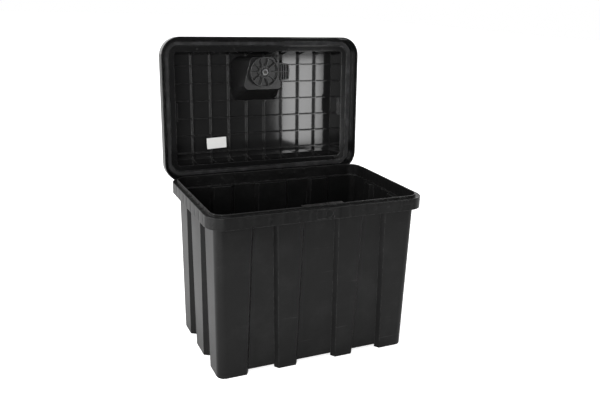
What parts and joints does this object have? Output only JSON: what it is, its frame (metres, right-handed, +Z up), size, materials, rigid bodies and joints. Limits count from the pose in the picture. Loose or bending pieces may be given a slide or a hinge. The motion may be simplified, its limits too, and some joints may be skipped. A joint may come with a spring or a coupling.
{
  "type": "truck bed toolbox",
  "caption": "Low rectangular plastic storage box with a hinged domed lid, a turning latch in the lid and recessed wall panels, shown open.",
  "frame": {"origin": "middle of the tub's footprint, on the plane that its feet stand on", "axes": "+X to the right seen from the front, +Y to the back where the hinges are, +Z up"},
  "size_m": [0.609, 0.5362, 0.8281],
  "materials": {
    "tub_plastic": "fine satin grain",
    "lid_plastic": "smooth semi-gloss",
    "latch_plastic": "satin",
    "bush_plastic": "satin",
    "zinc_steel": "black zinc plated",
    "pin_steel": "zinc plated",
    "lock_metal": "satin chrome",
    "seal_rubber": "matt foam rubber",
    "label_paper": "blank coated paper"
  },
  "bodies": {
    "tub": {"tub_shell": "tub_plastic", "latch_keeper": "zinc_steel", "keeper_rivets": "zinc_steel", "hinge_leaf_tub_left": "zinc_steel", "hinge_leaf_tub_right": "zinc_steel", "hinge_pin_left": "pin_steel", "hinge_pin_right": "pin_steel", "hinge_screws_tub": "pin_steel"},
    "lid": {"lid_shell": "lid_plastic", "lid_seal": "seal_rubber", "label_blank": "label_paper", "hinge_leaf_lid_left": "zinc_steel", "hinge_leaf_lid_right": "zinc_steel", "hinge_screws_lid": "pin_steel", "latch_dish": "latch_plastic", "dish_gasket": "seal_rubber", "dish_screws": "pin_steel", "latch_bush": "bush_plastic", "shaft_ring": "seal_rubber"},
    "latch": {"latch_shaft": "pin_steel", "latch_handle": "latch_plastic", "lock_barrel": "lock_metal", "dust_cap_pin": "pin_steel", "latch_cam": "latch_plastic", "cam_washer": "pin_steel", "cam_nut": "zinc_steel"},
    "key": {"key_plug": "lock_metal"},
    "cap": {"dust_cap": "latch_plastic"}
  },
  "joints": [
    {"name": "lid_hinge", "type": "hinge", "parent": "tub", "child": "lid", "pos_m": [0, 0.21, 0.4145], "axis": [1, 0, 0], "range_deg": [0, 92.6]},
    {"name": "latch_turn", "type": "hinge", "parent": "lid", "child": "latch", "pos_m": [0, 0.23973, 0.72747], "axis": [0, -0.999, 0.0454], "range_deg": [0, 90]},
    {"name": "key_turn", "type": "hinge", "parent": "latch", "child": "key", "pos_m": [0, 0.30966, 0.7243], "axis": [0, 0.999, -0.0454], "range_deg": [0, 90]},
    {"name": "dust_cap_swing", "type": "hinge", "parent": "latch", "child": "cap", "pos_m": [0, 0.30691, 0.70791], "axis": [0, 0.999, -0.0454], "range_deg": [0, 110]}
  ]
}
